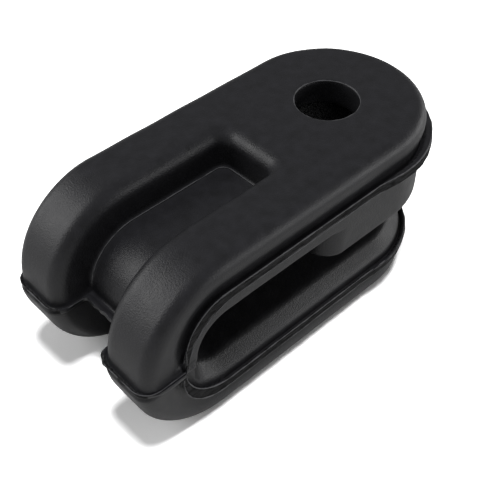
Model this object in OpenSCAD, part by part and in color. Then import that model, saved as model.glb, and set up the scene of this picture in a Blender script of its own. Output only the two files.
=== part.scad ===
// Exhaust rubber mount: a one-piece moulded rubber loop.
// The fork end faces -x, the bolt hole is at the other end, and the lower arm lies on z = 0.

/* [Loop] */
// Width of the loop across its side walls
width = 36; // [30:0.5:44]
// Height from the lower face to the upper face
height = 35.2; // [33:0.2:44]
// Distance from the fork tip to the axis of the bolt hole
hole_x = 58.5; // [56:0.1:70]
// How far the round end of the upper arm is centred past the bolt hole
upper_end_shift = 0.5; // [0:0.1:1.2]
// How far the lower arm stops short of the upper arm
lower_setback = 2; // [0:0.1:5]
// How far the lower half of the bend stands forward of the upper half
lower_forward = 0.8; // [0:0.1:1.4]
// Thickness of each arm between its outer face and the slot
arm_t = 11; // [9.6:0.1:12]
// Rounding of the outer edges
edge_r = 2.4; // [1:0.1:4]

/* [Slot] */
// Rounding along the edges of the slot
slot_edge_r = 0.6; // [0.3:0.1:1.6]
// How far the wall beside the slot is set in
slot_inset = 0.15; // [0.05:0.05:0.5]

/* [Side lip] */
// Depth of the lip below the outer face, along the arms
lip_depth = 5.7; // [4.5:0.1:6.5]
// Height of the lip along the arms
lip_h = 1.7; // [1:0.1:2.4]
// How far the lip stands out from the side wall
lip_out = 0.5; // [0.3:0.05:1]
// Distance from the fork tip to the lip, at the mid plane
lip_bend_x = 8; // [7.8:0.1:8.2]
// Width of the lip there
lip_bend_w = 0.4; // [0.3:0.1:0.8]
// Radius of the lip's outer line round the bend
lip_bend_r = 8.9; // [7:0.1:10]
// Height of the hollow that sets the side wall off from the lip
crease_h = 2.2; // [1.2:0.1:3]
// Depth of that hollow
crease_in = 0.45; // [0.2:0.05:0.8]
// Radius of the lip round the end of the upper arm
upper_lip_r = 19.3; // [19:0.1:20]
// How far that radius is centred past the bolt hole
upper_lip_shift = 1; // [0:0.1:2]
// Radius of the lip round the end of the lower arm
lower_lip_r = 18.8; // [18.6:0.1:20]

/* [Fork groove] */
// Width of the groove between the two legs
groove_w = 12.7; // [8:0.1:15]
// Depth of the groove below the outer face
groove_depth = 7.6; // [5:0.1:8.2]
// Distance from the fork tip to the closed end of the groove
groove_x = 38.7; // [28:0.1:42]
// Corner radius at the closed end of the groove, seen from above
groove_corner_r = 2.3; // [1:0.1:3.5]
// Rounding of the edge where the groove opens
groove_edge_r = 2.8; // [1:0.1:3.4]
// Fillet along the bottom of the groove
groove_floor_r = 0.6; // [0.2:0.1:1]

/* [Stop block] */
// Distance from the fork tip to the face of the block under the upper arm
block_x = 40.7; // [36:0.1:44]
// Corner radius of the block, seen from above
block_corner_r = 2.8; // [1.5:0.1:5]
// Rounding along the lower edge of the block
block_edge_r = 0.7; // [0.3:0.1:1.3]

/* [Bolt hole] */
// Diameter of the bolt hole
hole_d = 12; // [6:0.5:16]
// Length of the bolt hole, down to the wider pocket
hole_depth = 5.4; // [3:0.1:9]
// Rounding at the rim of the bolt hole
hole_rim_r = 0.4; // [0.2:0.1:1]
// Diameter of the pocket in the block below the bolt hole
pocket_d = 18; // [17:0.5:26]

/* [Parting flash] */
// Height of the flash band round the legs, under the mid plane
flash_h = 1; // [0.4:0.1:1.6]
// How far the flash band stands out from the upper half
flash_out = 1; // [0.3:0.1:1.5]
// How far the flash band stands out from the web between the legs
flash_web_out = 2.2; // [0.9:0.1:3]
// How far the flash band stands out from the wall beside the slot
flash_wall_out = 0.5; // [0.2:0.1:0.9]
// Radius of the outer corners of the flash band, seen from above
flash_corner_r = 5; // [3:0.1:6]

/* [Hidden] */
$fn = 96;
rubber = [0.16, 0.16, 0.17];

// The mould parts on the mid plane, so the shape is drawn about z = 0 and lifted at the end.
half_h = height / 2;
half_w = width / 2;
upper_end_x = hole_x + upper_end_shift;
lower_x = hole_x - lower_setback;
slot_r = half_h - arm_t;
lip_top = half_h - lip_depth;
lip_base = lip_top - lip_h;
wall_w = half_w - slot_inset;
lip_w = half_w + lip_out;
lip_corner_x = lip_bend_x + lip_bend_r;
lip_corner_z = lip_top - lip_bend_r;
lip_inner_x = lip_bend_x + lip_bend_w + lip_base;
groove_half_w = groove_w / 2;
groove_floor = half_h - groove_depth;
pocket_top = half_h - hole_depth;
fork_front = max(flash_out, lower_forward);
over = 1;

// The middle of the overall length, which is put on the z axis.
middle_x = (hole_x + upper_lip_shift + upper_lip_r - fork_front) / 2;

// What is cut from a square corner at the origin to round it, the solid lying below and left.
module outside_corner(r)
    translate([-r, -r]) difference() {
        square(r + over);
        circle(r);
    }

// Half of an arm's section: x runs out from the middle, y up from the mid plane.
module arm_half()
    difference() {
        translate([0, slot_r]) square([half_w, arm_t]);
        translate([half_w, half_h]) outside_corner(edge_r);
        translate([wall_w, slot_r]) mirror([0, 1, 0]) outside_corner(slot_edge_r);
    }

// The hollow beside the lip: x runs out from the middle, y outward from the lip's outer line.
module crease_half()
    polygon([
        [half_w - crease_in, 0],
        [half_w + over, 0],
        [half_w + over, crease_h * (1 + over / crease_in)]
    ]);

// Half of the block's section, from the mid plane up into the arm.
module block_half(w)
    difference() {
        square([w, lip_base]);
        translate([w, 0]) mirror([0, 1, 0]) outside_corner(block_edge_r);
    }

// Half of the groove's section, flaring where it opens in the outer face.
module groove_half(w) {
    difference() {
        translate([0, groove_floor]) square([w, groove_depth + over]);
        translate([w, groove_floor]) mirror([0, 1, 0]) outside_corner(groove_floor_r);
    }
    translate([w, half_h]) mirror([1, 0, 0]) outside_corner(groove_edge_r);
}

// Half of the bolt hole's section.
module hole_half() {
    square([hole_d / 2, half_h + over]);
    translate([hole_d / 2, half_h]) mirror([1, 0, 0]) outside_corner(hole_rim_r);
}

module both_sides() {
    children();
    mirror([1, 0, 0]) children();
}

module both_y() {
    children();
    mirror([0, 1, 0]) children();
}

// A section laid along x from one distance to another.
module along_x(from, to)
    translate([from, 0, 0]) rotate([90, 0, 90]) linear_extrude(height = to - from) children();

// A half section turned about an upright axis.
module about_z(x, y, from, sweep)
    translate([x, y, 0]) rotate([0, 0, from]) rotate_extrude(angle = sweep) children();

// A half section laid along y, facing away from the fork.
module along_y(x, half_span)
    translate([x, half_span, 0]) rotate([90, 0, 0]) linear_extrude(height = 2 * half_span)
        children();

// A section turned round the upper half of the fork bend.
module round_fork() round_bend(half_h, 0) children();

// A section turned a quarter round a line along y.
module round_bend(x, z)
    translate([x, 0, z]) rotate([90, 0, 0]) rotate([0, 0, 90])
        rotate_extrude(angle = 90) mirror([1, -1, 0]) children();

// A section that follows the lip's outer line, from just above the mid plane to end_x.
module along_lip(end_x) {
    translate([lip_bend_x, 0, over]) linear_extrude(height = lip_corner_z - over)
        rotate(90) both_sides() children();
    round_bend(lip_corner_x, lip_corner_z) both_sides() translate([0, lip_bend_r]) children();
    along_x(lip_corner_x, end_x) both_sides() translate([0, lip_top]) children();
}

// What lies inside the lip's outer line, seen from the side.
module lip_outer(end_x) {
    translate([lip_bend_x, 0]) square([end_x - lip_bend_x, lip_corner_z]);
    translate([lip_corner_x, 0]) square([end_x - lip_corner_x, lip_top]);
    translate([lip_corner_x, lip_corner_z]) circle(lip_bend_r);
}

// What lies inside its inner line.
module lip_inner(end_x) {
    translate([lip_inner_x, 0]) circle(lip_base);
    translate([lip_inner_x, -over]) square([end_x - lip_inner_x, lip_base + over]);
}

// The lip along both sides, with the disc that carries it round the end of the arm.
module side_lip(lip_x, lip_r) {
    along_y(0, lip_w) difference() {
        lip_outer(lip_x);
        lip_inner(lip_x + over);
    }
    translate([lip_x, 0, lip_base]) cylinder(h = lip_h, r = lip_r);
}

// The set-in wall between the lip and the slot.
module wall_inset(end_x) {
    both_y() translate([0, wall_w + over, 0]) rotate([90, 0, 0])
        linear_extrude(height = over) lip_inner(end_x);
    about_z(end_x, 0, -90, 180) translate([wall_w, -over]) square([over, lip_base + over]);
}

// The upper half of the bend and one arm, with its round end about end_x.
module half_loop(end_x, lip_x, lip_r) {
    difference() {
        union() {
            round_fork() both_sides() arm_half();
            along_x(half_h, end_x) both_sides() arm_half();
            about_z(end_x, 0, -90, 180) arm_half();
        }
        along_lip(end_x) crease_half();
        about_z(end_x, 0, -90, 180) translate([0, lip_top]) crease_half();
        wall_inset(end_x);
    }
    side_lip(lip_x, lip_r);
}

module stop_block() {
    corner_x = block_x + block_corner_r;
    corner_y = wall_w - block_corner_r;
    along_x(corner_x, upper_end_x) both_sides() block_half(wall_w);
    about_z(upper_end_x, 0, -90, 180) block_half(wall_w);
    about_z(corner_x, corner_y, 90, 90) block_half(block_corner_r);
    about_z(corner_x, -corner_y, 180, 90) block_half(block_corner_r);
    mirror([1, 0, 0]) along_y(-corner_x, corner_y) block_half(block_corner_r);
}

// The groove in the upper half, from the mid plane to its closed end at end_x.
module half_groove(end_x) {
    corner_x = end_x - groove_corner_r;
    corner_y = groove_half_w - groove_corner_r;
    round_fork() both_sides() groove_half(groove_half_w);
    along_x(half_h, corner_x) both_sides() groove_half(groove_half_w);
    about_z(corner_x, corner_y, 0, 90) groove_half(groove_corner_r);
    about_z(corner_x, -corner_y, -90, 90) groove_half(groove_corner_r);
    along_y(corner_x, corner_y) groove_half(groove_corner_r);
}

// Half of the flash band seen from above: one leg, and half of the web between the legs.
module flash_half() {
    difference() {
        translate([-flash_out, groove_half_w - flash_out])
            square([groove_depth + flash_out, half_w - groove_half_w + 2 * flash_out]);
        translate([-flash_out, half_w + flash_out]) mirror([1, 0, 0])
            outside_corner(flash_corner_r);
        translate([-flash_out, groove_half_w - flash_out]) mirror([1, 0, 0]) mirror([0, 1, 0])
            outside_corner(groove_edge_r);
    }
    translate([groove_depth - over, groove_half_w])
        square([arm_t - slot_edge_r - groove_depth + over, wall_w + flash_wall_out - groove_half_w]);
    translate([groove_depth - flash_web_out, 0]) square([flash_web_out + over, groove_half_w]);
}

module parting_flash()
    translate([0, 0, -flash_h]) linear_extrude(height = flash_h) {
        flash_half();
        mirror([0, 1, 0]) flash_half();
    }

// The upper half, with the block and the bolt hole.
module upper_half()
    difference() {
        union() {
            half_loop(upper_end_x, hole_x + upper_lip_shift, upper_lip_r);
            stop_block();
        }
        half_groove(groove_x);
        translate([hole_x, 0, -over]) cylinder(h = pocket_top + over, d = pocket_d);
        translate([hole_x, 0, 0]) rotate_extrude() hole_half();
    }

// The lower half, a mirror image set forward at the bend and stopping short at the far end.
module lower_half()
    translate([-lower_forward, 0, 0]) mirror([0, 0, 1])
        difference() {
            half_loop(lower_x + lower_forward, lower_x + lower_forward, lower_lip_r);
            half_groove(groove_x + lower_forward);
        }

module rubber_mount() color(rubber) translate([-middle_x, 0, half_h]) {
    upper_half();
    lower_half();
    parting_flash();
}

rubber_mount();
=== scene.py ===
import bpy, bmesh, math
import numpy as np
from mathutils import Matrix, Vector


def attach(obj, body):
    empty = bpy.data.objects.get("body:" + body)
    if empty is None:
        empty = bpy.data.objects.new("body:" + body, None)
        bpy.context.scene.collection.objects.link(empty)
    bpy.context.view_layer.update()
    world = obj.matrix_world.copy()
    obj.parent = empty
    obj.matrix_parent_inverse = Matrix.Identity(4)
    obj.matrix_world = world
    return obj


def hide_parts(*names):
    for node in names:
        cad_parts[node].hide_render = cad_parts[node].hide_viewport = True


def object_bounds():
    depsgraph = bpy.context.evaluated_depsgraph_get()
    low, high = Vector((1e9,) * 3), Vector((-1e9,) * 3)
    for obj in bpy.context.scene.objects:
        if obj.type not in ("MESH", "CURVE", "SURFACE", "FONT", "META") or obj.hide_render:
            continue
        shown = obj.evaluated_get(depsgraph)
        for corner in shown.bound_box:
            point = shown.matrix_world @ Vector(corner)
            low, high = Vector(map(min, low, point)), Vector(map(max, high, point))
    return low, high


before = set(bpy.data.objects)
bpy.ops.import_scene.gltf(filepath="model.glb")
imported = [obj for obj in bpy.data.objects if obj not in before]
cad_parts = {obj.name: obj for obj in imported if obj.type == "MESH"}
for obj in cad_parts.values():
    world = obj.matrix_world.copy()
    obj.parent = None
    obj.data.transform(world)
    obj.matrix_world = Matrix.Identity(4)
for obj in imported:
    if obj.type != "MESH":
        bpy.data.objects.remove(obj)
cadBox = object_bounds()
print("stage: frame loaded")

mm = 0.001
tiny = 0.001                                    # keeps a length that something is divided by off zero
quarter = math.pi / 2


# sRGB hex to the linear values that the shader sockets take
def toLinear(hexValue):
    parts = [int(hexValue[i:i + 2], 16) / 255 for i in (1, 3, 5)]
    return tuple(p / 12.92 if p <= 0.04045 else ((p + 0.055) / 1.055) ** 2.4 for p in parts) + (1.0,)


# Adds a node with its settings and socket values, and links its inputs by name or number.
def addNode(tree, kind, settings=None, inputs=None, links=None):
    node = tree.nodes.new(kind)
    for name, value in (settings or {}).items():
        setattr(node, name, value)
    for name, value in (inputs or {}).items():
        node.inputs[name].default_value = value
    for name, source in (links or {}).items():
        tree.links.new(source, node.inputs[name])
    return node


# The emptied node tree of a material or world.
def emptyTree(owner):
    owner.use_nodes = True
    owner.node_tree.nodes.clear()
    return owner.node_tree


# A new object in the scene.
def addObject(name, data):
    thing = bpy.data.objects.new(name, data)
    bpy.context.scene.collection.objects.link(thing)
    return thing


# Turns what a thing's modifiers make of it into its plain mesh.
def settle(thing):
    graph = bpy.context.evaluated_depsgraph_get()
    result = bpy.data.meshes.new_from_object(thing.evaluated_get(graph))
    thing.modifiers.clear()
    thing.data = result


# A length of one towards an azimuth and elevation in degrees.
def direction(azimuth, elevation):
    a, e = math.radians(azimuth), math.radians(elevation)
    return Vector((math.cos(a) * math.cos(e), math.sin(a) * math.cos(e), math.sin(e)))


# camera: lengths and the target in mm, angles in degrees
view = {
    "azimuth": -132.64,
    "elevation": 45.3,
    "roll": -0.53,
    "distance": 169.28,
    "target": (-1.91, 0.45, 13.3),
    "lens": 67.3,
    "sensor": 36,
    "clip": (10, 10000),
}


def addCamera(v):
    back = direction(v["azimuth"], v["elevation"])
    level = Vector((0, 0, 1)).cross(back).normalized()
    lift, r = back.cross(level), math.radians(v["roll"])
    right = math.cos(r) * level + math.sin(r) * lift
    up = math.cos(r) * lift - math.sin(r) * level
    data = bpy.data.cameras.new("camera")
    data.lens, data.sensor_width = v["lens"], v["sensor"]
    data.clip_start, data.clip_end = [distance * mm for distance in v["clip"]]
    camera = addObject("camera", data)
    camera.matrix_world = Matrix((right, up, back)).transposed().to_4x4()
    camera.matrix_world.translation = (Vector(v["target"]) + back * v["distance"]) * mm
    bpy.context.scene.camera = camera


addCamera(view)
print("stage: camera")

# rubber body: the solid's own mesh made even and dense, then worked point by point. All in mm. A pair
# called a fade holds the values, mostly distances, at which a change of the surface is none and is full.
bodyShape = {
    "seed": 4,
    "mergeWithin": 0.001,                       # joins the solid's loose triangles
    "grid": 0.27,                               # between the points of the even mesh
    "rounding": 3, "wear": 1,                   # smoothing passes before and after the surface is worked
    "passStrength": 0.5,
    "triangles": 185000,
    # the part as the solid has it; heights are from the parting plane, widths from the middle plane
    "halfHeight": 17.6,                         # the parting plane's own height
    "wall": 18.0,
    "upperEnd": 20.1, "lowerEnd": 17.6,         # centres of the arms' round ends
    "lowerForward": 0.8,                        # how far the mould's lower half sat towards the fork
    "bendX": -21.3, "slotRadius": 6.6,          # centre of the bend at the fork end, and the slot round it
    "forkX": -38.9, "webX": -31.3,              # where the upper half and its web end at the parting plane
    "legMiddle": 12.175, "legHalf": 5.825,      # middle and half of a leg's width
    "legCorner": 2.6, "legReach": 10.0,         # its corners seen from above, and half of its length
    # the lip
    "lipTop": 11.9, "lipBase": 10.2,            # its outer and inner line
    "lipOut": 18.5,                             # its face
    "upperDisc": (20.6, 19.3), "lowerDisc": (17.6, 18.8),       # centre and radius of it round the ends
    "lipBendX": -30.9, "lipBendRadius": 8.9,    # its outer line at the fork end
    "lipBendWidth": 0.4,
    "lipFillFade": (0.05, 0.4),                 # out from the wall, where it widens to the disc
    "faceFade": (0.35, 0.1),                    # keeps what is done beside the lip off its face
    # waves all over, and the torn face of the lip: heights, and lengths along each of three axes
    "wave": 0.02, "waveLengths": (6, 6, 6),
    "ridge": 0.08, "ridgeLengths": (12, 0.32, 3),
    "pit": 0.04, "pitLengths": (1.6, 0.9, 3),
    "tornFade": (0.2, 0.4), "tornOuterFade": (0.3, 0.0), "tornInnerFade": (-0.3, 0.0),
    # how the wall leans in beside the lip, and the same where the lower arm's slope meets it
    "creaseDepth": 0.3, "creaseWidth": 2.6,
    "creaseFade": (-1.8, -1.0), "creaseLineFade": (-0.3, 0.1),
    "hollowDepth": 0.45, "hollowWidth": 1.1,
    "hollowFade": (-4.2, -3.2), "hollowLineFade": (0.2, -0.1),
    # the deep gap beside the lip, which starts inside the wall
    "gapDepth": 1.35, "gapReach": 0.6,          # the reach is on each side of the lip's line
    "gapFade": (-1.0, -0.7), "gapFaceFade": (0.28, 0.05),
    "gapFacingFade": (0.15, 0.6),               # by how far the surface looks across the line
    # the slope along the slot's edges on the lower arm
    "slopeWidth": 3.0, "slopeHeight": 3.2,
    "slopeInset": 0.15, "slopeMargin": 0.35,    # kept clear of the side wall and of the lip
    "slopeBlend": 0.8,                          # how softly it leaves the slot's floor
    "slopeBlends": 1.5,                         # how many blends inside its width points still count
    "slopeBelow": 0.4, "slopeAbove": 0.1,       # how far off its foot and its top points still count
    "slopeTurnFade": (0, 0.9),                  # round the bend, by the height over the radius
    # the flash round the legs and across the web
    "webFlash": 0.45,                           # the web's stands out further, so it counts for less
    "forkMargin": 1.0,                          # how far behind and beside the web the flash is worked
    "flashGap": 0.7, "flashGapReach": 0.35,     # depth of the gap beside the legs, about the parting plane
    "flashGapFade": (-0.4, -0.1), "flashGapEndFade": (0.62, 0.4), "flashGapUpFade": (0.25, 0.7),
    "rag": 0.16, "ragLengths": (1.3, 1.3, 2.6),                 # waves along the ragged rim
    "ragMean": 0.9,                             # their middle, as a share of their height
    "ragFade": (0.5, 0.9), "ragLowFade": (-1.6, -0.9), "ragTopFade": (0.4, 0.1),
    "underDepth": 0.35, "underLow": 1.35, "underWidth": 0.3,    # the undercut, below the parting plane
    "underFade": (-0.5, 0.0),
    # the stop block's upright corners
    "blockX": 1.8, "blockWall": 17.85, "blockTop": 6.3,
    "blockCorner": 4.8, "blockEdge": 0.7,
    "blockMargins": (0.4, 0.1, 0.2),            # how far off its end, sides and foot points still count
    # where the cut faces are
    "cutMargin": 0.12,                          # inside the lip's edges
    "frontOut": 0.25, "frontLow": -1.2, "frontTop": 0.3, "frontDepth": 0.5,     # the flash's front
}


def denseCopy(source, shape):
    mesh = source.data.copy()
    work = bmesh.new()
    work.from_mesh(mesh)
    bmesh.ops.remove_doubles(work, verts=work.verts, dist=shape["mergeWithin"] * mm)
    work.to_mesh(mesh)
    work.free()
    body = addObject("rubberBody", mesh)
    even = body.modifiers.new("even", "REMESH")
    even.mode, even.voxel_size, even.adaptivity = "VOXEL", shape["grid"] * mm, 0
    soft = body.modifiers.new("soft", "SMOOTH")
    soft.factor, soft.iterations = shape["passStrength"], shape["rounding"]
    settle(body)
    return body


def readVectors(items, name):
    values = np.empty(len(items) * 3)
    items.foreach_get(name, values)
    return values.reshape(-1, 3)


# Goes smoothly from 0 to 1 as the value goes from the pair's first number to its second.
def fade(value, pair):
    start, end = pair
    f = np.clip((value - start) / (end - start), 0, 1)
    return f * f * (3 - 2 * f)


# A round hump of height 1 about zero.
def hump(value, width):
    return np.exp(-(value / width) ** 2)


# The larger of two values, with the corner where they meet filled over the width.
def softMax(a, b, width):
    return np.maximum(a, b) + np.maximum(width - np.abs(a - b), 0) ** 2 / (4 * width)


# Half the width of a disc at x.
def discSide(x, centre, radius):
    return np.sqrt(np.maximum(radius ** 2 - (x - centre) ** 2, 0))


# Uneven waves from about -1 to 1: a sum of sines, with lengths in mm along each of three axes.
def waves(rng, axes, lengths, count=9):
    total = 0
    for _ in range(count):
        pace = rng.normal(size=3) / np.array(lengths) * 2
        phase = rng.uniform(0, 6.28)            # anywhere in about a full turn
        total = total + np.sin(sum(p * axis for p, axis in zip(pace, axes)) + phase)
    return total / math.sqrt(count)


# For each point: whether it is on the upper arm, its height off the parting plane, its x as on the
# upper arm, and the centre of its arm's round end.
def armPlaces(points, shape):
    x, _, z = points.T
    upper = z > shape["halfHeight"]
    side = np.where(upper, x, x + shape["lowerForward"])
    return upper, np.abs(z - shape["halfHeight"]), side, np.where(upper, shape["upperEnd"], shape["lowerEnd"])


# Centre of the lip's outer line at the bend, as x and height, and the x of its inner line's centre.
def lipCentres(shape):
    bendX, r = shape["lipBendX"], shape["lipBendRadius"]
    return bendX + r, shape["lipTop"] - r, bendX + shape["lipBendWidth"] + shape["lipBase"]


# Where each point lies against the lip: out from the side wall, past the lip's outer line,
# past its inner line and along it, and whether that is on the upper arm.
def lipPlaces(points, shape):
    x, y, _ = points.T
    upper, h, side, end = armPlaces(points, shape)
    cornerX, cornerH, innerX = lipCentres(shape)
    r, base = shape["lipBendRadius"], shape["lipBase"]
    out = np.where(x < end, np.abs(y), np.hypot(x - end, y)) - shape["wall"]
    bend = np.where(h > cornerH, np.hypot(side - cornerX, h - cornerH) - r, shape["lipBendX"] - side)
    outer = np.where(side > cornerX, h - shape["lipTop"], bend)
    inner = np.where(side > innerX, h - base, np.hypot(side - innerX, h) - base)
    straight = np.where(side > cornerX, x, cornerX - r * np.arctan2(cornerX - side, h))
    turn = quarter - np.arctan2(np.abs(y), np.maximum(x - end, tiny))
    along = np.where(x < end, straight, end + shape["wall"] * turn)
    return out, outer, inner, along, upper


# The directions out across the lip's outer line and out across its inner line.
def lipAway(points, shape):
    upper, h, side, _ = armPlaces(points, shape)
    cornerX, cornerH, innerX = lipCentres(shape)
    sign = np.where(upper, 1, -1)
    # level round the bend's foot, and never quite level beside the straight stretch
    rise = np.where((side < cornerX) & (h < cornerH), 0, np.maximum(h - cornerH, 10 * tiny))
    away = []
    for dx, dh in ((np.minimum(side - cornerX, 0), rise), (np.minimum(side - innerX, 0), h)):
        far = np.hypot(dx, dh) + tiny
        away.append(np.stack([dx / far, 0 * far, sign * dh / far], axis=1))
    return away


# The level direction away from the side wall or the round end.
def outward(points, shape):
    x, y, _ = points.T
    past = np.maximum(x - armPlaces(points, shape)[3], 0)
    far = np.hypot(past, y) + tiny
    return np.stack([past / far, y / far, 0 * x], axis=1)


# Slight waves all over, and rows of torn ridges along the cut face of the lip.
def tearLip(points, normals, places, shape, rng):
    out, outer, inner, along, _ = places
    x, y, z = points.T
    push = shape["wave"] * waves(rng, (x, y, z), shape["waveLengths"])
    onLip = fade(out, shape["tornFade"]) * fade(outer, shape["tornOuterFade"])
    onLip *= fade(inner, shape["tornInnerFade"])
    torn = shape["ridge"] * waves(rng, (along, outer, out), shape["ridgeLengths"])
    torn += shape["pit"] * waves(rng, (along, outer, y), shape["pitLengths"])
    points += normals * (push + onLip * torn)[:, None]


# The side wall leans in towards the lip.
def leanWall(points, places, shape):
    out, outer = places[:2]
    lean = shape["creaseDepth"] * hump(outer, shape["creaseWidth"]) * fade(outer, shape["creaseLineFade"])
    nearWall = fade(out, shape["creaseFade"]) * fade(out, shape["faceFade"])
    points -= outward(points, shape) * (lean * nearWall)[:, None]


# A deep gap runs along both lines of the lip, where the surface looks across the line.
def openGaps(points, normals, places, away, shape):
    out, outer, inner = places[:3]
    inGap = fade(out, shape["gapFade"]) * fade(out, shape["gapFaceFade"])
    for line, across in ((outer, away[0]), (inner, -away[1])):
        facing = fade(np.sum(normals * across, axis=1), shape["gapFacingFade"])
        facing *= np.abs(line) < shape["gapReach"]
        points -= across * (shape["gapDepth"] * inGap * facing)[:, None]


# Distance out from the upper half of the legs and of the web between them, seen from above.
def legDistance(points, shape):
    x, y, _ = points.T
    r, reach = shape["legCorner"], shape["legReach"]
    dx = np.abs(x - shape["forkX"] - reach) - reach + r
    dy = np.abs(np.abs(y) - shape["legMiddle"]) - shape["legHalf"] + r
    legs = np.hypot(np.maximum(dx, 0), np.maximum(dy, 0)) + np.minimum(np.maximum(dx, dy), 0) - r
    between = np.abs(y) < shape["legMiddle"] - shape["legHalf"] + shape["forkMargin"]
    return np.where(between, np.minimum(legs, shape["webFlash"] * (shape["webX"] - x)), legs)


# The gap in the flash next to the legs, the flash's ragged rim and the undercut below it.
def ragFlash(points, normals, shape, rng):
    beyond, top = legDistance(points, shape), points[:, 2] - shape["halfHeight"]
    atLegs = points[:, 0] < shape["webX"] + shape["forkMargin"]
    inGap = fade(beyond, shape["flashGapFade"]) * fade(beyond, shape["flashGapEndFade"])
    inGap *= fade(normals[:, 2], shape["flashGapUpFade"])
    drop = shape["flashGap"] * inGap * (np.abs(top) < shape["flashGapReach"]) * atLegs
    rim = fade(beyond, shape["ragFade"]) * fade(top, shape["ragLowFade"]) * fade(top, shape["ragTopFade"])
    rag = shape["rag"] * (shape["ragMean"] + waves(rng, points.T, shape["ragLengths"])) * rim * atLegs
    under = shape["underDepth"] * hump(top + shape["underLow"], shape["underWidth"])
    under *= fade(beyond, shape["underFade"]) * atLegs
    points[:, 2] -= drop
    points[:, :2] -= normals[:, :2] * (np.maximum(rag, 0) + under)[:, None]


# The slope along the slot's edges on the lower arm: points past it are drawn back to it.
def cutSlope(points, shape):
    out, _, inner, _, upper = lipPlaces(points, shape)
    _, h, side, _ = armPlaces(points, shape)
    side = np.minimum(side - shape["bendX"], 0)
    ring = np.maximum(np.hypot(side, h), tiny)
    depth = ring - shape["slotRadius"]
    size = fade(h / ring, shape["slopeTurnFade"]) * ~upper
    wide = shape["slopeWidth"] * size
    high = np.maximum(np.minimum(shape["slopeHeight"], depth - inner - shape["slopeMargin"]) * size, tiny)
    steep = np.hypot(wide, high) + tiny
    blend = shape["slopeBlend"] * size * np.clip(1 - depth / high, 0, 1) + tiny
    near = (depth > -shape["slopeBelow"]) & (depth < high + shape["slopeAbove"]) & ~upper
    near &= out > -shape["slopeInset"] - wide - shape["slopeBlends"] * blend
    past = ((out + shape["slopeInset"] + wide) * high - depth * wide) / steep
    past = np.where(near, softMax(past, 0, blend), 0)
    inward, deeper = past * high / steep, past * wide / steep
    points -= outward(points, shape) * inward[:, None]
    points[:, 0] += deeper * side / ring
    points[:, 2] -= deeper * h / ring


# The hollow in the wall where the lower arm's slope comes down to the lip.
def hollowSlope(points, places, shape):
    out, _, inner, _, upper = places
    hollow = shape["hollowDepth"] * hump(inner, shape["hollowWidth"]) * fade(inner, shape["hollowLineFade"])
    hollow *= fade(out, shape["hollowFade"]) * fade(out, shape["faceFade"]) * ~upper
    points -= outward(points, shape) * hollow[:, None]


# Fills the corner where the lip goes over from the straight side to the disc round the end.
def easeLip(points, shape):
    x, y, z = points.T
    side = shape["lipOut"]
    onLip = np.sign(y) * fade(np.abs(y) - shape["wall"], shape["lipFillFade"])
    for upper, (centre, disc) in ((True, shape["upperDisc"]), (False, shape["lowerDisc"])):
        edge = discSide(x, centre, disc)
        fill = softMax(edge, side, disc - side) - np.maximum(edge, side)
        points[:, 1] += fill * onLip * ((z > shape["halfHeight"]) == upper) * (x < centre)


# Rounds the stop block's upright corners: points past the round are drawn back to it.
def roundBlock(points, shape):
    x, y, z = points.T
    r, edge, foot = shape["blockCorner"], shape["blockEdge"], shape["halfHeight"]
    offEnd, offSide, offFoot = shape["blockMargins"]
    dx = np.minimum(x - shape["blockX"] - r, 0)
    dy = np.maximum(np.abs(y) - shape["blockWall"] + r, 0)
    low = np.clip((foot + edge - z) / edge, 0, 1)
    far = np.hypot(dx, dy) + tiny
    past = np.maximum(far - r + edge * (1 - np.sqrt(1 - low * low)), 0)
    atCorner = (dx < 0) & (x > shape["blockX"] - offEnd)
    atCorner &= (dy > 0) & (np.abs(y) < shape["blockWall"] + offSide)
    atCorner &= (z > foot - offFoot) & (z < foot + shape["blockTop"])
    past = np.where(atCorner, past, 0)
    points[:, 0] -= past * dx / far
    points[:, 1] -= past * dy / far * np.sign(y)


def workBody(body, shape):
    rng = np.random.default_rng(shape["seed"])
    mesh = body.data
    points, normals = readVectors(mesh.vertices, "co") / mm, readVectors(mesh.vertex_normals, "vector")
    places, away = lipPlaces(points, shape), lipAway(points, shape)
    tearLip(points, normals, places, shape, rng)
    leanWall(points, places, shape)
    openGaps(points, normals, places, away, shape)
    ragFlash(points, normals, shape, rng)
    cutSlope(points, shape)
    hollowSlope(points, places, shape)
    easeLip(points, shape)
    roundBlock(points, shape)
    low, high = np.array(cadBox) / mm
    mesh.vertices.foreach_set("co", (np.clip(points, low, high) * mm).ravel())
    mesh.update()


# A light smoothing for the edges that wear takes off, then down to the number of triangles wanted.
def wearAndThin(body, shape):
    worn = body.modifiers.new("worn", "SMOOTH")
    worn.factor, worn.iterations = shape["passStrength"], shape["wear"]
    thin = body.modifiers.new("thin", "DECIMATE")
    thin.ratio = shape["triangles"] / (2 * len(body.data.polygons))
    body.modifiers.new("triangles", "TRIANGULATE")
    settle(body)


# Compression moulded rubber, filled with carbon black: nearly black and half matt, so that light only
# glows on it. The blasted mould leaves a fine grain, and its release agent faint blotches.
rubberLook = {
    "colours": ("#131314", "#212124"),          # from the darkest blotch to the palest
    "roughness": (0.36, 0.46),
    "noiseRange": (0.3, 0.7),                   # of the blotches' noise, from the least rough to the most
    "specular": 0.45, "ior": 1.5,
    "grain": 0.26, "grainDepth": 0.065,         # mm; too fine to show on the real one, so drawn coarser
    "blotch": 2.2,                              # mm across
}


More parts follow.
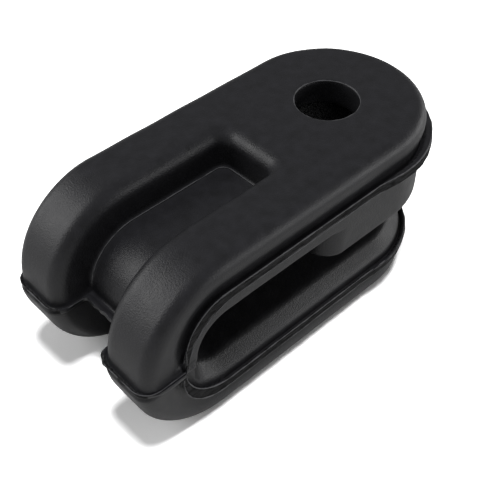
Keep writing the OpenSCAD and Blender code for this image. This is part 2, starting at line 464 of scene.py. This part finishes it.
def mouldedRubber(look):
    mat = bpy.data.materials.new("mouldedRubber")
    tree = emptyTree(mat)
    coords = addNode(tree, "ShaderNodeTexCoord").outputs["Object"]
    grain = addNode(tree, "ShaderNodeTexNoise", inputs={"Scale": 1 / (look["grain"] * mm), "Detail": 3.0},
                    links={"Vector": coords})
    bump = addNode(tree, "ShaderNodeBump", inputs={"Strength": 1.0, "Distance": look["grainDepth"] * mm},
                   links={"Height": grain.outputs["Fac"]})
    blotch = addNode(tree, "ShaderNodeTexNoise", inputs={"Scale": 1 / (look["blotch"] * mm), "Detail": 5.0},
                     links={"Vector": coords})
    (start, end), (low, high) = look["noiseRange"], look["roughness"]
    rough = addNode(tree, "ShaderNodeMapRange",
                    inputs={"From Min": start, "From Max": end, "To Min": low, "To Max": high},
                    links={"Value": blotch.outputs["Fac"]})
    dark, pale = [toLinear(c) for c in look["colours"]]
    tone = addNode(tree, "ShaderNodeMix", settings={"data_type": "RGBA"}, inputs={6: dark, 7: pale},
                   links={"Factor": blotch.outputs["Fac"]})
    shader = addNode(tree, "ShaderNodeBsdfPrincipled",
                     inputs={"IOR": look["ior"], "Specular IOR Level": look["specular"]},
                     links={"Normal": bump.outputs["Normal"], "Roughness": rough.outputs["Result"],
                            "Base Color": tone.outputs[2]})
    addNode(tree, "ShaderNodeOutputMaterial", links={"Surface": shader.outputs["BSDF"]})
    return mat


# The same rubber where the flash was trimmed and torn off: rough, so it is matt, and streaked along
# the cut in black and grey.
cutLook = {
    "colours": ("#050505", "#2c2c2d"),
    "roughness": 0.8, "specular": 0.15, "ior": 1.5,
    "tear": 0.3, "tearDepth": 0.08,             # mm; the real tears are finer, so they are drawn coarser
    "stretch": 0.15,                            # of the pattern's scale along the part, for long streaks
    "noiseRange": (0.35, 0.7),                  # of the streaks' noise, from the darkest to the palest
}


def cutRubber(look):
    mat = bpy.data.materials.new("cutRubber")
    tree = emptyTree(mat)
    coords = addNode(tree, "ShaderNodeTexCoord").outputs["Object"]
    grain = addNode(tree, "ShaderNodeTexNoise", inputs={"Scale": 1 / (look["tear"] * mm), "Detail": 4.0},
                    links={"Vector": coords})
    longer = addNode(tree, "ShaderNodeMapping", inputs={"Scale": (look["stretch"], 1, 1)},
                     links={"Vector": coords})
    lines = addNode(tree, "ShaderNodeTexNoise", inputs={"Scale": 1 / (look["tear"] * mm), "Detail": 3.0},
                    links={"Vector": longer.outputs["Vector"]})
    start, end = look["noiseRange"]
    streak = addNode(tree, "ShaderNodeMapRange", inputs={"From Min": start, "From Max": end},
                     links={"Value": lines.outputs["Fac"]})
    bump = addNode(tree, "ShaderNodeBump", inputs={"Strength": 1.0, "Distance": look["tearDepth"] * mm},
                   links={"Height": grain.outputs["Fac"]})
    dark, pale = [toLinear(c) for c in look["colours"]]
    tone = addNode(tree, "ShaderNodeMix", settings={"data_type": "RGBA"}, inputs={6: dark, 7: pale},
                   links={"Factor": streak.outputs["Result"]})
    shader = addNode(tree, "ShaderNodeBsdfPrincipled",
                     inputs={"Roughness": look["roughness"], "IOR": look["ior"],
                             "Specular IOR Level": look["specular"]},
                     links={"Normal": bump.outputs["Normal"], "Base Color": tone.outputs[2]})
    addNode(tree, "ShaderNodeOutputMaterial", links={"Surface": shader.outputs["BSDF"]})
    return mat


# The second material goes on the lip's cut face and on the front of the flash.
def markCutFaces(body, shape):
    mesh = body.data
    centres = readVectors(mesh.polygons, "center") / mm
    out, outer, inner = lipPlaces(centres, shape)[:3]
    margin = shape["cutMargin"]
    cut = (out > margin) & (outer < -margin) & (inner > margin)
    beyond, top = legDistance(centres, shape), centres[:, 2] - shape["halfHeight"]
    front = (beyond > shape["frontOut"]) & (centres[:, 0] < shape["forkX"] + shape["frontDepth"])
    front &= (top > shape["frontLow"]) & (top < shape["frontTop"])
    mesh.polygons.foreach_set("material_index", (cut | front).astype(np.int32))
    mesh.update()


body = denseCopy(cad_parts["rubber_mount"], bodyShape)
workBody(body, bodyShape)
wearAndThin(body, bodyShape)
body.data.materials.clear()
body.data.materials.append(mouldedRubber(rubberLook))
body.data.materials.append(cutRubber(cutLook))
markCutFaces(body, bodyShape)
body.data.shade_smooth()
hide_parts("rubber_mount")
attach(body, "root")
print("stage: rubber body,", len(body.data.polygons), "triangles")

# flash bead along the lip's edges, the groove's foot, the flash's rim and the bolt hole, partly real flash
# and partly a painted highlight along those edges; in mm
beadShape = {
    "seed": 7,
    "radius": 0.15, "thinnest": 0.3,            # the thinnest part as a share of the radius
    "waver": 0.07, "waverLength": 1.6,          # how far it strays from its path, and over what length
    "step": 0.3,                                # between its rings
    "start": 1.6,                               # the height off the parting plane where it starts
    "inset": 0.06,                              # how far inside the lip's face it lies
    "easeLength": 12.0,                         # where the lip widens to the disc round the end
    "easeGap": 0.05,                            # the turn from there to the next point, in radians
    "footHalf": 5.98, "footFloor": 10.2,        # on the rounding between the groove's wall and floor
    "footEnd": -0.6, "footCorner": 2.0,         # the groove's closed end, and its corners
    "rimOut": 0.78, "rimWallOut": 0.38,         # how far the flash stands out from a leg's front and wall
    "rimLow": 0.17,                             # under the parting plane
    "rimStart": -31.3, "rimEnd": -33.4,         # x at a leg's outer wall and at the web
    "holeX": 19.6, "holeRadius": 6.1, "holeHeight": 17.38,
    # points on a path's bend, ease, round end, corner and ring
    "bendPoints": 40, "easePoints": 16, "endPoints": 50, "cornerPoints": 12, "ringPoints": 73,
}


# Points round a centre, from the first angle to the last.
def arc(centreX, centreY, radius, first, last, count):
    turn = np.linspace(first, last, count)
    return [(centreX + radius * math.cos(a), centreY + radius * math.sin(a)) for a in turn]


# This path and the next ones are lists of x, y and height off the parting plane.
# One of the lip's edges, from one leg round the end to the other; its grey bead is partly flash and partly a
# painted highlight of the rounded edge.
def lipEdge(shape, bead, upper, outerLine):
    if outerLine:
        legX, r, h = shape["lipBendX"], shape["lipBendRadius"], shape["lipTop"]
    else:
        legX, r, h = shape["lipBendX"] + shape["lipBendWidth"], shape["lipBase"], shape["lipBase"]
    if not upper:
        legX -= shape["lowerForward"]
    centre, disc = shape["upperDisc" if upper else "lowerDisc"]
    disc, side = disc - bead["inset"] - bead["radius"], shape["lipOut"] - bead["inset"]
    upright = h - r > bead["start"]
    first = math.pi if upright else math.pi - math.asin(bead["start"] / r)
    half = [(legX, side, bead["start"])] if upright else []
    half += [(x, side, k) for x, k in arc(legX + r, h - r, r, first, quarter, bead["bendPoints"])]
    half += [(x, softMax(discSide(x, centre, disc), side, disc - side), h)
             for x in np.linspace(centre - bead["easeLength"], centre, bead["easePoints"])]
    half += [(x, y, h) for x, y in arc(centre, 0, disc, quarter - bead["easeGap"], 0, bead["endPoints"])]
    sign = 1 if upper else -1
    return [(x, y, sign * k) for x, y, k in half + [(x, -y, k) for x, y, k in reversed(half[:-1])]]


# The foot of the groove's walls, where the grey bead paints the highlight of the fillet: up the web, along
# one wall, across the closed end and back.
def grooveFoot(shape, bead):
    r, end, side, floor = bead["footCorner"], bead["footEnd"], bead["footHalf"], bead["footFloor"]
    first = math.pi - math.asin(bead["start"] / floor)
    half = [(x, side, k) for x, k in arc(shape["bendX"], 0, floor, first, quarter, bead["bendPoints"])]
    half += [(x, y, floor) for x, y in arc(end - r, side - r, r, quarter, 0, bead["cornerPoints"])]
    return half + [(x, -y, k) for x, y, k in reversed(half)]


# The rim of the flash round one leg, from its outer wall over the front to the web.
def flashRim(shape, bead, sign):
    r, front = shape["legCorner"] + bead["rimOut"], shape["forkX"] - bead["rimOut"]
    outer = shape["legMiddle"] + shape["legHalf"] + bead["rimWallOut"]
    inner = shape["legMiddle"] - shape["legHalf"] - bead["rimOut"]
    path = [(bead["rimStart"], outer)]
    path += arc(front + r, outer - r, r, quarter, 2 * quarter, bead["cornerPoints"])
    path += arc(front + r, inner + r, r, 2 * quarter, 3 * quarter, bead["cornerPoints"])
    path += [(bead["rimEnd"], inner)]
    return [(x, sign * y, -bead["rimLow"]) for x, y in path]


# A ring of the grey bead round the bolt hole: a painted highlight where the rounded rim catches the light.
def holeRim(bead):
    ring = arc(bead["holeX"], 0, bead["holeRadius"], 0, 4 * quarter, bead["ringPoints"])
    return [(x, y, bead["holeHeight"]) for x, y in ring]


# Node tree that turns edges into a wavering bead of uneven thickness.
def beadTree(material):
    tree = bpy.data.node_groups.new("flashAndPaintedGlintBead", "GeometryNodeTree")
    tree.interface.new_socket("Geometry", in_out="INPUT", socket_type="NodeSocketGeometry")
    for name in ("Radius", "Thinnest", "Waver", "Waver length", "Step", "Seed"):
        tree.interface.new_socket(name, in_out="INPUT", socket_type="NodeSocketFloat")
    tree.interface.new_socket("Geometry", in_out="OUTPUT", socket_type="NodeSocketGeometry")
    given = addNode(tree, "NodeGroupInput").outputs
    curve = addNode(tree, "GeometryNodeMeshToCurve", links={"Mesh": given["Geometry"]})
    even = addNode(tree, "GeometryNodeResampleCurve", settings={"mode": "LENGTH"},
                   links={"Curve": curve.outputs["Curve"], "Length": given["Step"]})
    scale = addNode(tree, "ShaderNodeMath", settings={"operation": "DIVIDE"}, inputs={0: 1.0},
                    links={1: given["Waver length"]})
    noise = addNode(tree, "ShaderNodeTexNoise", settings={"noise_dimensions": "4D"},
                    links={"W": given["Seed"], "Scale": scale.outputs[0]})
    centred = addNode(tree, "ShaderNodeVectorMath", settings={"operation": "SUBTRACT"},
                      inputs={1: (0.5, 0.5, 0.5)}, links={0: noise.outputs["Color"]})
    offset = addNode(tree, "ShaderNodeVectorMath", settings={"operation": "SCALE"},
                     links={0: centred.outputs[0], "Scale": given["Waver"]})
    moved = addNode(tree, "GeometryNodeSetPosition",
                    links={"Geometry": even.outputs["Curve"], "Offset": offset.outputs[0]})
    # the noise seldom leaves the range from 0.35 to 0.65
    thickness = addNode(tree, "ShaderNodeMapRange",
                        inputs={"From Min": 0.35, "From Max": 0.65, "To Max": 1.0},
                        links={"Value": noise.outputs["Fac"], "To Min": given["Thinnest"]})
    ring = addNode(tree, "GeometryNodeCurvePrimitiveCircle", inputs={"Resolution": 6},
                   links={"Radius": given["Radius"]})
    bead = addNode(tree, "GeometryNodeCurveToMesh", inputs={"Fill Caps": True},
                   links={"Curve": moved.outputs["Geometry"], "Profile Curve": ring.outputs["Curve"],
                          "Scale": thickness.outputs["Result"]})
    real = addNode(tree, "GeometryNodeRealizeInstances", links={"Geometry": bead.outputs["Mesh"]})
    done = addNode(tree, "GeometryNodeSetMaterial", inputs={"Material": material},
                   links={"Geometry": real.outputs["Geometry"]})
    addNode(tree, "NodeGroupOutput", links={"Geometry": done.outputs["Geometry"]})
    return tree


def addBead(shape, bead, material):
    paths = [lipEdge(shape, bead, upper, outerLine)
             for upper in (True, False) for outerLine in (True, False)]
    paths += [grooveFoot(shape, bead), holeRim(bead), flashRim(shape, bead, 1), flashRim(shape, bead, -1)]
    verts, edges = [], []
    for path in paths:
        edges += [(len(verts) + i, len(verts) + i + 1) for i in range(len(path) - 1)]
        verts += [(x * mm, y * mm, (shape["halfHeight"] + k) * mm) for x, y, k in path]
    mesh = bpy.data.meshes.new("flashAndPaintedGlintBead")
    mesh.from_pydata(verts, edges, [])
    strip = addObject("flashAndPaintedGlintBead", mesh)
    nodes = strip.modifiers.new("flashAndPaintedGlintBead", "NODES")
    nodes.node_group = beadTree(material)
    values = {
        "Radius": bead["radius"] * mm,
        "Thinnest": bead["thinnest"],
        "Waver": bead["waver"] * 2 * mm,        # twice, as the noise goes half of it to each side
        "Waver length": bead["waverLength"] * mm,
        "Step": bead["step"] * mm,
        "Seed": float(bead["seed"]),
    }
    for item in nodes.node_group.interface.items_tree:
        if item.in_out == "INPUT" and item.name in values:
            nodes[item.identifier] = values[item.name]
    settle(strip)
    strip.data.shade_smooth()
    return strip


# The same rubber, squeezed out thin between the parts of the mould, with a painted highlight: it is greyer
# than the rest, so that it draws the pale line that light catches along the rounded edges, the groove's foot
# and the hole's rim.
flashAndGlintLook = {"colour": "#3e3e40", "roughness": 0.5, "specular": 0.5}


def flashAndGlintRubber(look):
    mat = bpy.data.materials.new("flashRubberWithPaintedGlint")
    tree = emptyTree(mat)
    shader = addNode(tree, "ShaderNodeBsdfPrincipled",
                     inputs={"Base Color": toLinear(look["colour"]), "Roughness": look["roughness"],
                             "Specular IOR Level": look["specular"]})
    addNode(tree, "ShaderNodeOutputMaterial", links={"Surface": shader.outputs["BSDF"]})
    return mat


# the bead's grey paints the thin highlights along these edges; only part of it is real flash
strip = addBead(bodyShape, beadShape, flashAndGlintRubber(flashAndGlintLook))
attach(strip, "root")
print("stage: flash bead,", len(strip.data.polygons), "faces")

# studio: sizes in m, angles in degrees
studio = {
    "floorColour": "#a8a8a8",
    "floorLift": "#f2f2f2",                     # added for the camera alone, so that lit paper is white
    "floorHalf": 3.0,                           # from the middle to each side
    "skyStrength": 0.15,
    "keyAzimuth": -90, "keyElevation": 85, "keyAngle": 12, "keyStrength": 3.75,
    "leftAzimuth": 132, "leftElevation": 30, "leftSize": (0.6, 0.55), "leftPower": 3.3,
    "rightAzimuth": -38, "rightElevation": 10.5, "rightSize": (1.1, 0.24), "rightPower": 2.8,
    "lampDistance": 0.8, "aimHeight": 0.015,
}


# Shows one shader to the camera and another to the light that bounces.
def splitByCamera(tree, outputKind, bounced, seen):
    path = addNode(tree, "ShaderNodeLightPath")
    mix = addNode(tree, "ShaderNodeMixShader",
                  links={"Fac": path.outputs["Is Camera Ray"], 1: bounced.outputs[0], 2: seen.outputs[0]})
    addNode(tree, outputKind, links={"Surface": mix.outputs[0]})


# White paper, uncoated and so matt: the camera sees it as plain white with the object's shadow on it.
def addFloor(s):
    mesh = bpy.data.meshes.new("floor")
    h = s["floorHalf"]
    mesh.from_pydata([(-h, -h, 0), (h, -h, 0), (h, h, 0), (-h, h, 0)], [], [(0, 1, 2, 3)])
    floor = addObject("floor", mesh)
    mat = bpy.data.materials.new("paperFloor")
    tree = emptyTree(mat)
    plain = addNode(tree, "ShaderNodeBsdfDiffuse", inputs={"Color": toLinear(s["floorColour"])})
    lift = addNode(tree, "ShaderNodeBsdfDiffuse", inputs={"Color": toLinear(s["floorLift"])})
    both = addNode(tree, "ShaderNodeAddShader", links={0: plain.outputs[0], 1: lift.outputs[0]})
    splitByCamera(tree, "ShaderNodeOutputMaterial", plain, both)
    mesh.materials.append(mat)


# The world is white to the camera and dim to the object.
def addSky(s):
    world = bpy.data.worlds.new("studio")
    bpy.context.scene.world = world
    tree = emptyTree(world)
    white = (1, 1, 1, 1)
    dim = addNode(tree, "ShaderNodeBackground", inputs={"Color": white, "Strength": s["skyStrength"]})
    full = addNode(tree, "ShaderNodeBackground", inputs={"Color": white, "Strength": 1.0})
    splitByCamera(tree, "ShaderNodeOutputWorld", dim, full)


# A lamp on the named side, turned towards the object.
def addLamp(name, kind, s, side, settings):
    towards = direction(s[side + "Azimuth"], s[side + "Elevation"])
    data = bpy.data.lights.new(name, kind)
    for key, value in settings.items():
        setattr(data, key, value)
    lamp = addObject(name, data)
    lamp.location = towards * s["lampDistance"] + Vector((0, 0, s["aimHeight"]))
    lamp.rotation_euler = towards.to_track_quat("Z", "Y").to_euler()
    return lamp


def addSoftBox(name, s, side):
    wide, high = s[side + "Size"]
    addLamp(name, "AREA", s, side,
            {"shape": "RECTANGLE", "size": wide, "size_y": high, "energy": s[side + "Power"]})


# A diffused sheet overhead, which leaves no glint on the rubber.
def addKey(s):
    key = addLamp("overheadKey", "SUN", s, "key",
                  {"angle": math.radians(s["keyAngle"]), "energy": s["keyStrength"]})
    key.visible_glossy = False


addFloor(studio)
addSky(studio)
addKey(studio)
addSoftBox("softBoxLeft", studio, "left")       # the glow on the fronts of the legs
addSoftBox("softBoxRight", studio, "right")     # the bright line on the near edge of the top
print("stage: studio")

bpy.context.scene.view_settings.view_transform = "Standard"
